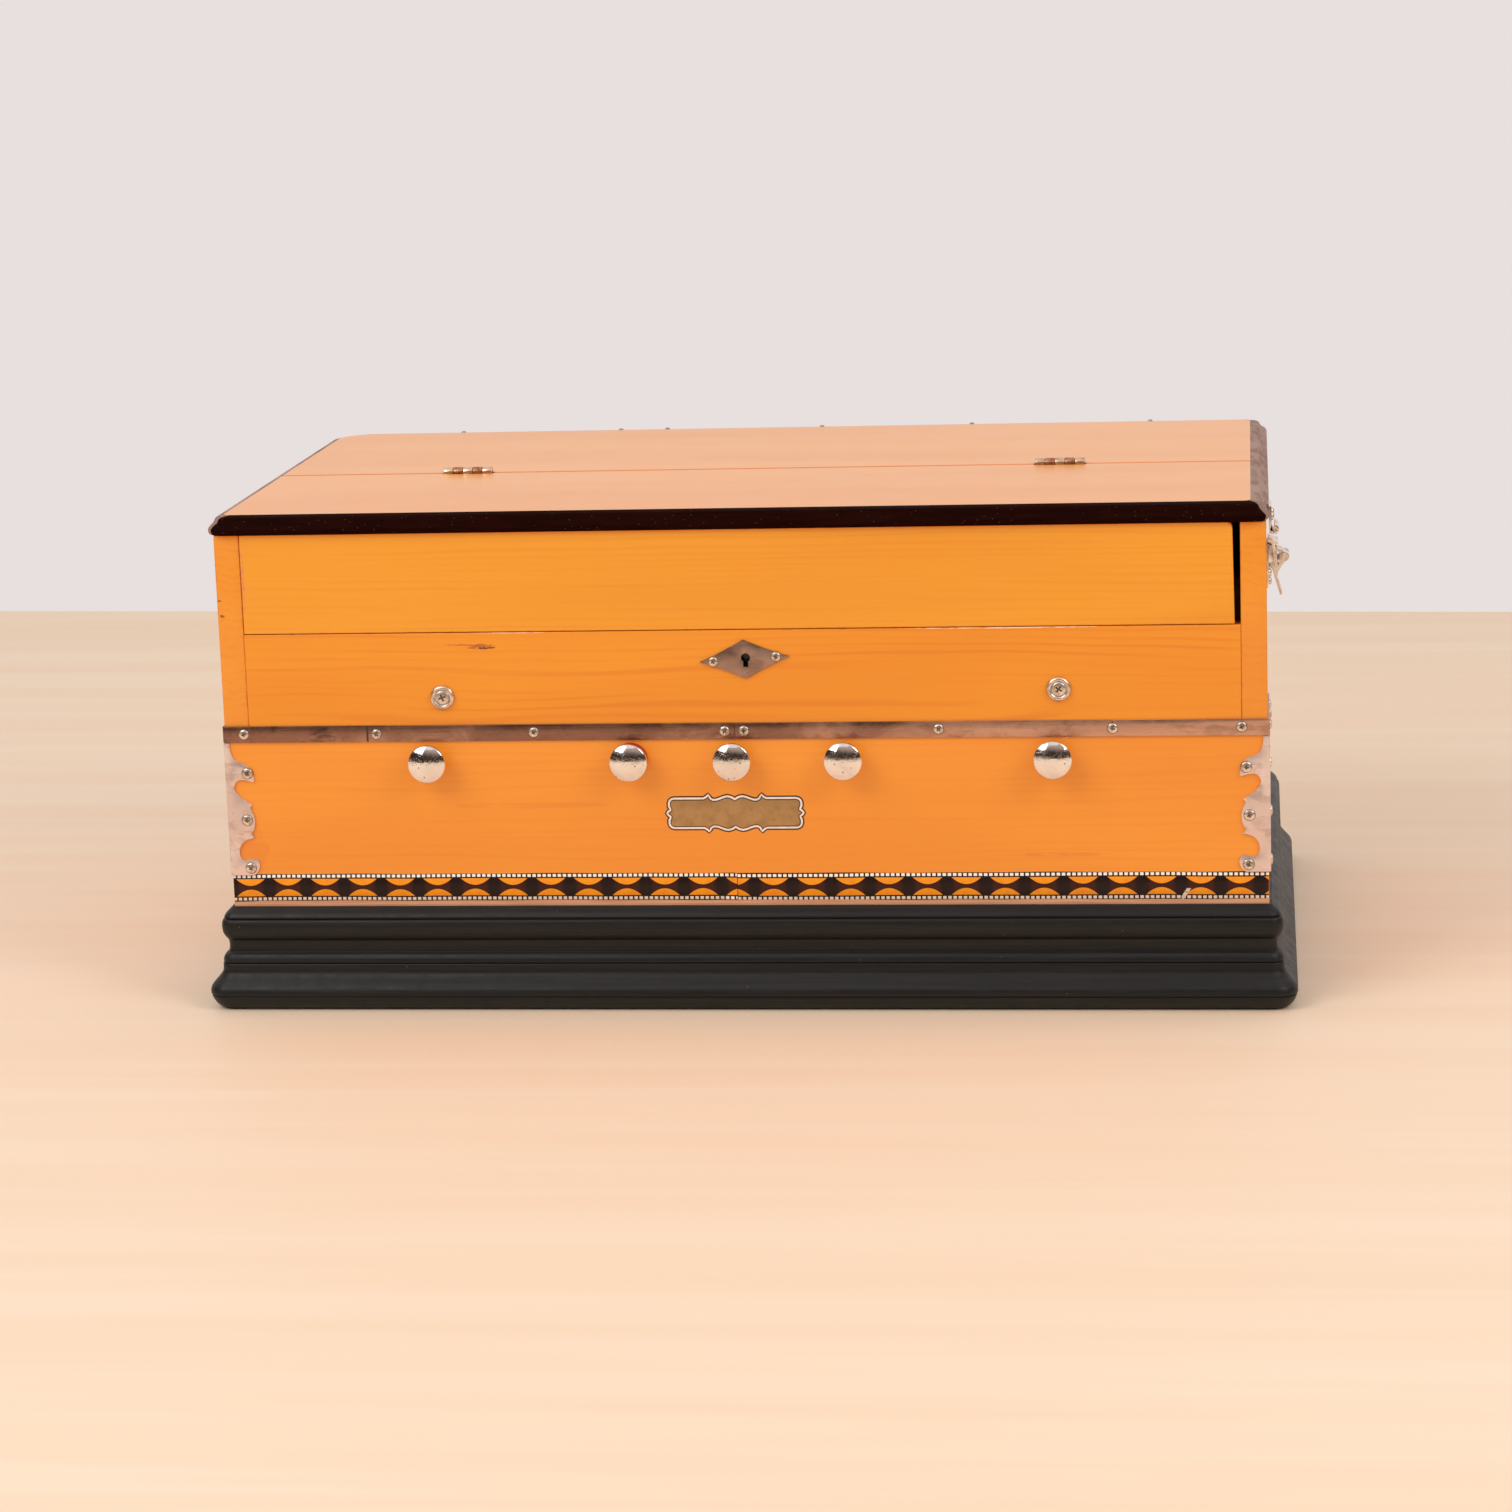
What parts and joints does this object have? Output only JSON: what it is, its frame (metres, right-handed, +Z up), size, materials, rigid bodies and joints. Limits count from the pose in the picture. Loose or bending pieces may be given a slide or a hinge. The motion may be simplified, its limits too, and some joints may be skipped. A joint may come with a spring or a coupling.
{
  "type": "indian harmonium",
  "caption": "Portable hand-pumped reed organ in a varnished case: hinged lid over a keyboard with pallets, turned stop knobs, rear bellows board, draw latch and black moulded plinth.",
  "frame": {"origin": "middle of the plinth's underside, where the instrument stands on the floor", "axes": "+X to the player's right along the keyboard, +Y from the player towards the bellows, +Z up"},
  "size_m": [0.6264, 0.374, 0.2906],
  "materials": {
    "varnished_wood": "glossy orange varnish",
    "black_lacquer": "satin black lacquer",
    "bare_wood": "bare planed wood",
    "sheet_steel": "thin bright sheet steel",
    "chrome": "polished plating",
    "natural_key": "glossy white cover on wood",
    "sharp_key": "glossy black",
    "bellows_cloth": "matt folded cloth"
  },
  "bodies": {
    "case": {"base_plinth": "black_lacquer", "side_panel_left": "varnished_wood", "side_panel_right": "varnished_wood", "back_panel": "varnished_wood", "stop_panel": "varnished_wood", "keyslip": "varnished_wood", "steel_strip": "sheet_steel", "corner_bracket_left": "sheet_steel", "corner_bracket_right": "sheet_steel", "lid_rear": "varnished_wood", "reed_chamber": "bare_wood", "latch_base": "chrome", "bellows_folds": "bellows_cloth"},
    "lid": {"lid_front": "varnished_wood", "lid_fascia": "varnished_wood"},
    "stop_1": {"stop_1": "chrome"},
    "stop_2": {"stop_2": "chrome"},
    "stop_3": {"stop_3": "chrome"},
    "stop_4": {"stop_4": "chrome"},
    "stop_5": {"stop_5": "chrome"},
    "bellows": {"bellows_board": "varnished_wood"},
    "latch_lever": {"latch_lever": "chrome"},
    "latch_bail": {"latch_bail": "chrome"},
    "key_c1": {"key_c1": "natural_key"},
    "key_c1_sharp": {"key_c1_sharp": "sharp_key"},
    "key_d1": {"key_d1": "natural_key"},
    "key_d1_sharp": {"key_d1_sharp": "sharp_key"},
    "key_e1": {"key_e1": "natural_key"},
    "key_f1": {"key_f1": "natural_key"},
    "key_f1_sharp": {"key_f1_sharp": "sharp_key"},
    "key_g1": {"key_g1": "natural_key"},
    "key_g1_sharp": {"key_g1_sharp": "sharp_key"},
    "key_a1": {"key_a1": "natural_key"},
    "key_a1_sharp": {"key_a1_sharp": "sharp_key"},
    "key_b1": {"key_b1": "natural_key"},
    "key_c2": {"key_c2": "natural_key"},
    "key_c2_sharp": {"key_c2_sharp": "sharp_key"},
    "key_d2": {"key_d2": "natural_key"},
    "key_d2_sharp": {"key_d2_sharp": "sharp_key"},
    "key_e2": {"key_e2": "natural_key"},
    "key_f2": {"key_f2": "natural_key"},
    "key_f2_sharp": {"key_f2_sharp": "sharp_key"},
    "key_g2": {"key_g2": "natural_key"},
    "key_g2_sharp": {"key_g2_sharp": "sharp_key"},
    "key_a2": {"key_a2": "natural_key"},
    "key_a2_sharp": {"key_a2_sharp": "sharp_key"},
    "key_b2": {"key_b2": "natural_key"},
    "key_c3": {"key_c3": "natural_key"},
    "key_c3_sharp": {"key_c3_sharp": "sharp_key"},
    "key_d3": {"key_d3": "natural_key"},
    "key_d3_sharp": {"key_d3_sharp": "sharp_key"},
    "key_e3": {"key_e3": "natural_key"},
    "key_f3": {"key_f3": "natural_key"},
    "key_f3_sharp": {"key_f3_sharp": "sharp_key"},
    "key_g3": {"key_g3": "natural_key"},
    "key_g3_sharp": {"key_g3_sharp": "sharp_key"},
    "key_a3": {"key_a3": "natural_key"},
    "key_a3_sharp": {"key_a3_sharp": "sharp_key"},
    "key_b3": {"key_b3": "natural_key"},
    "key_c4": {"key_c4": "natural_key"}
  },
  "joints": [
    {"name": "lid_hinge", "type": "hinge", "parent": "case", "child": "lid", "pos_m": [0, -0.012, 0.2876], "axis": [-1, 0, 0], "range_deg": [0, 180]},
    {"name": "stop_1_draw", "type": "slide", "parent": "case", "child": "stop_1", "axis": [0, -1, 0], "range_m": [0, 0.018]},
    {"name": "stop_2_draw", "type": "slide", "parent": "case", "child": "stop_2", "axis": [0, -1, 0], "range_m": [0, 0.018]},
    {"name": "stop_3_draw", "type": "slide", "parent": "case", "child": "stop_3", "axis": [0, -1, 0], "range_m": [0, 0.018]},
    {"name": "stop_4_draw", "type": "slide", "parent": "case", "child": "stop_4", "axis": [0, -1, 0], "range_m": [0, 0.018]},
    {"name": "stop_5_draw", "type": "slide", "parent": "case", "child": "stop_5", "axis": [0, -1, 0], "range_m": [0, 0.018]},
    {"name": "bellows_pump", "type": "hinge", "parent": "case", "child": "bellows", "pos_m": [0, 0.177, 0.0613], "axis": [-1, 0, 0], "range_deg": [0, 28], "deforming": ["bellows_folds"]},
    {"name": "latch_lever_swing", "type": "hinge", "parent": "case", "child": "latch_lever", "pos_m": [0.3075, -0.151, 0.2545], "axis": [0, -1, 0], "range_deg": [0, 120]},
    {"name": "latch_bail_swing", "type": "hinge", "parent": "latch_lever", "child": "latch_bail", "pos_m": [0.303, -0.151, 0.25], "axis": [0, 1, 0], "range_deg": [0, 120]},
    {"name": "key_c1_press", "type": "hinge", "parent": "case", "child": "key_c1", "pos_m": [0, -0.01708, 0.22], "axis": [1, 0, 0], "range_deg": [0, 3.2], "stiffness_Nm_per_rad": 0.4, "springref_deg": -14.32},
    {"name": "key_c1_sharp_press", "type": "hinge", "parent": "case", "child": "key_c1_sharp", "pos_m": [0, -0.01708, 0.22], "axis": [1, 0, 0], "range_deg": [0, 3.2], "stiffness_Nm_per_rad": 0.4, "springref_deg": -14.32},
    {"name": "key_d1_press", "type": "hinge", "parent": "case", "child": "key_d1", "pos_m": [0, -0.01708, 0.22], "axis": [1, 0, 0], "range_deg": [0, 3.2], "stiffness_Nm_per_rad": 0.4, "springref_deg": -14.32},
    {"name": "key_d1_sharp_press", "type": "hinge", "parent": "case", "child": "key_d1_sharp", "pos_m": [0, -0.01708, 0.22], "axis": [1, 0, 0], "range_deg": [0, 3.2], "stiffness_Nm_per_rad": 0.4, "springref_deg": -14.32},
    {"name": "key_e1_press", "type": "hinge", "parent": "case", "child": "key_e1", "pos_m": [0, -0.01708, 0.22], "axis": [1, 0, 0], "range_deg": [0, 3.2], "stiffness_Nm_per_rad": 0.4, "springref_deg": -14.32},
    {"name": "key_f1_press", "type": "hinge", "parent": "case", "child": "key_f1", "pos_m": [0, -0.01708, 0.22], "axis": [1, 0, 0], "range_deg": [0, 3.2], "stiffness_Nm_per_rad": 0.4, "springref_deg": -14.32},
    {"name": "key_f1_sharp_press", "type": "hinge", "parent": "case", "child": "key_f1_sharp", "pos_m": [0, -0.01708, 0.22], "axis": [1, 0, 0], "range_deg": [0, 3.2], "stiffness_Nm_per_rad": 0.4, "springref_deg": -14.32},
    {"name": "key_g1_press", "type": "hinge", "parent": "case", "child": "key_g1", "pos_m": [0, -0.01708, 0.22], "axis": [1, 0, 0], "range_deg": [0, 3.2], "stiffness_Nm_per_rad": 0.4, "springref_deg": -14.32},
    {"name": "key_g1_sharp_press", "type": "hinge", "parent": "case", "child": "key_g1_sharp", "pos_m": [0, -0.01708, 0.22], "axis": [1, 0, 0], "range_deg": [0, 3.2], "stiffness_Nm_per_rad": 0.4, "springref_deg": -14.32},
    {"name": "key_a1_press", "type": "hinge", "parent": "case", "child": "key_a1", "pos_m": [0, -0.01708, 0.22], "axis": [1, 0, 0], "range_deg": [0, 3.2], "stiffness_Nm_per_rad": 0.4, "springref_deg": -14.32},
    {"name": "key_a1_sharp_press", "type": "hinge", "parent": "case", "child": "key_a1_sharp", "pos_m": [0, -0.01708, 0.22], "axis": [1, 0, 0], "range_deg": [0, 3.2], "stiffness_Nm_per_rad": 0.4, "springref_deg": -14.32},
    {"name": "key_b1_press", "type": "hinge", "parent": "case", "child": "key_b1", "pos_m": [0, -0.01708, 0.22], "axis": [1, 0, 0], "range_deg": [0, 3.2], "stiffness_Nm_per_rad": 0.4, "springref_deg": -14.32},
    {"name": "key_c2_press", "type": "hinge", "parent": "case", "child": "key_c2", "pos_m": [0, -0.01708, 0.22], "axis": [1, 0, 0], "range_deg": [0, 3.2], "stiffness_Nm_per_rad": 0.4, "springref_deg": -14.32},
    {"name": "key_c2_sharp_press", "type": "hinge", "parent": "case", "child": "key_c2_sharp", "pos_m": [0, -0.01708, 0.22], "axis": [1, 0, 0], "range_deg": [0, 3.2], "stiffness_Nm_per_rad": 0.4, "springref_deg": -14.32},
    {"name": "key_d2_press", "type": "hinge", "parent": "case", "child": "key_d2", "pos_m": [0, -0.01708, 0.22], "axis": [1, 0, 0], "range_deg": [0, 3.2], "stiffness_Nm_per_rad": 0.4, "springref_deg": -14.32},
    {"name": "key_d2_sharp_press", "type": "hinge", "parent": "case", "child": "key_d2_sharp", "pos_m": [0, -0.01708, 0.22], "axis": [1, 0, 0], "range_deg": [0, 3.2], "stiffness_Nm_per_rad": 0.4, "springref_deg": -14.32},
    {"name": "key_e2_press", "type": "hinge", "parent": "case", "child": "key_e2", "pos_m": [0, -0.01708, 0.22], "axis": [1, 0, 0], "range_deg": [0, 3.2], "stiffness_Nm_per_rad": 0.4, "springref_deg": -14.32},
    {"name": "key_f2_press", "type": "hinge", "parent": "case", "child": "key_f2", "pos_m": [0, -0.01708, 0.22], "axis": [1, 0, 0], "range_deg": [0, 3.2], "stiffness_Nm_per_rad": 0.4, "springref_deg": -14.32},
    {"name": "key_f2_sharp_press", "type": "hinge", "parent": "case", "child": "key_f2_sharp", "pos_m": [0, -0.01708, 0.22], "axis": [1, 0, 0], "range_deg": [0, 3.2], "stiffness_Nm_per_rad": 0.4, "springref_deg": -14.32},
    {"name": "key_g2_press", "type": "hinge", "parent": "case", "child": "key_g2", "pos_m": [0, -0.01708, 0.22], "axis": [1, 0, 0], "range_deg": [0, 3.2], "stiffness_Nm_per_rad": 0.4, "springref_deg": -14.32},
    {"name": "key_g2_sharp_press", "type": "hinge", "parent": "case", "child": "key_g2_sharp", "pos_m": [0, -0.01708, 0.22], "axis": [1, 0, 0], "range_deg": [0, 3.2], "stiffness_Nm_per_rad": 0.4, "springref_deg": -14.32},
    {"name": "key_a2_press", "type": "hinge", "parent": "case", "child": "key_a2", "pos_m": [0, -0.01708, 0.22], "axis": [1, 0, 0], "range_deg": [0, 3.2], "stiffness_Nm_per_rad": 0.4, "springref_deg": -14.32},
    {"name": "key_a2_sharp_press", "type": "hinge", "parent": "case", "child": "key_a2_sharp", "pos_m": [0, -0.01708, 0.22], "axis": [1, 0, 0], "range_deg": [0, 3.2], "stiffness_Nm_per_rad": 0.4, "springref_deg": -14.32},
    {"name": "key_b2_press", "type": "hinge", "parent": "case", "child": "key_b2", "pos_m": [0, -0.01708, 0.22], "axis": [1, 0, 0], "range_deg": [0, 3.2], "stiffness_Nm_per_rad": 0.4, "springref_deg": -14.32},
    {"name": "key_c3_press", "type": "hinge", "parent": "case", "child": "key_c3", "pos_m": [0, -0.01708, 0.22], "axis": [1, 0, 0], "range_deg": [0, 3.2], "stiffness_Nm_per_rad": 0.4, "springref_deg": -14.32},
    {"name": "key_c3_sharp_press", "type": "hinge", "parent": "case", "child": "key_c3_sharp", "pos_m": [0, -0.01708, 0.22], "axis": [1, 0, 0], "range_deg": [0, 3.2], "stiffness_Nm_per_rad": 0.4, "springref_deg": -14.32},
    {"name": "key_d3_press", "type": "hinge", "parent": "case", "child": "key_d3", "pos_m": [0, -0.01708, 0.22], "axis": [1, 0, 0], "range_deg": [0, 3.2], "stiffness_Nm_per_rad": 0.4, "springref_deg": -14.32},
    {"name": "key_d3_sharp_press", "type": "hinge", "parent": "case", "child": "key_d3_sharp", "pos_m": [0, -0.01708, 0.22], "axis": [1, 0, 0], "range_deg": [0, 3.2], "stiffness_Nm_per_rad": 0.4, "springref_deg": -14.32},
    {"name": "key_e3_press", "type": "hinge", "parent": "case", "child": "key_e3", "pos_m": [0, -0.01708, 0.22], "axis": [1, 0, 0], "range_deg": [0, 3.2], "stiffness_Nm_per_rad": 0.4, "springref_deg": -14.32},
    {"name": "key_f3_press", "type": "hinge", "parent": "case", "child": "key_f3", "pos_m": [0, -0.01708, 0.22], "axis": [1, 0, 0], "range_deg": [0, 3.2], "stiffness_Nm_per_rad": 0.4, "springref_deg": -14.32},
    {"name": "key_f3_sharp_press", "type": "hinge", "parent": "case", "child": "key_f3_sharp", "pos_m": [0, -0.01708, 0.22], "axis": [1, 0, 0], "range_deg": [0, 3.2], "stiffness_Nm_per_rad": 0.4, "springref_deg": -14.32},
    {"name": "key_g3_press", "type": "hinge", "parent": "case", "child": "key_g3", "pos_m": [0, -0.01708, 0.22], "axis": [1, 0, 0], "range_deg": [0, 3.2], "stiffness_Nm_per_rad": 0.4, "springref_deg": -14.32},
    {"name": "key_g3_sharp_press", "type": "hinge", "parent": "case", "child": "key_g3_sharp", "pos_m": [0, -0.01708, 0.22], "axis": [1, 0, 0], "range_deg": [0, 3.2], "stiffness_Nm_per_rad": 0.4, "springref_deg": -14.32},
    {"name": "key_a3_press", "type": "hinge", "parent": "case", "child": "key_a3", "pos_m": [0, -0.01708, 0.22], "axis": [1, 0, 0], "range_deg": [0, 3.2], "stiffness_Nm_per_rad": 0.4, "springref_deg": -14.32},
    {"name": "key_a3_sharp_press", "type": "hinge", "parent": "case", "child": "key_a3_sharp", "pos_m": [0, -0.01708, 0.22], "axis": [1, 0, 0], "range_deg": [0, 3.2], "stiffness_Nm_per_rad": 0.4, "springref_deg": -14.32},
    {"name": "key_b3_press", "type": "hinge", "parent": "case", "child": "key_b3", "pos_m": [0, -0.01708, 0.22], "axis": [1, 0, 0], "range_deg": [0, 3.2], "stiffness_Nm_per_rad": 0.4, "springref_deg": -14.32},
    {"name": "key_c4_press", "type": "hinge", "parent": "case", "child": "key_c4", "pos_m": [0, -0.01708, 0.22], "axis": [1, 0, 0], "range_deg": [0, 3.2], "stiffness_Nm_per_rad": 0.4, "springref_deg": -14.32}
  ],
  "couplings": [
    {"joint": "latch_bail_swing", "follows": "latch_lever_swing", "ratio": 1}
  ]
}
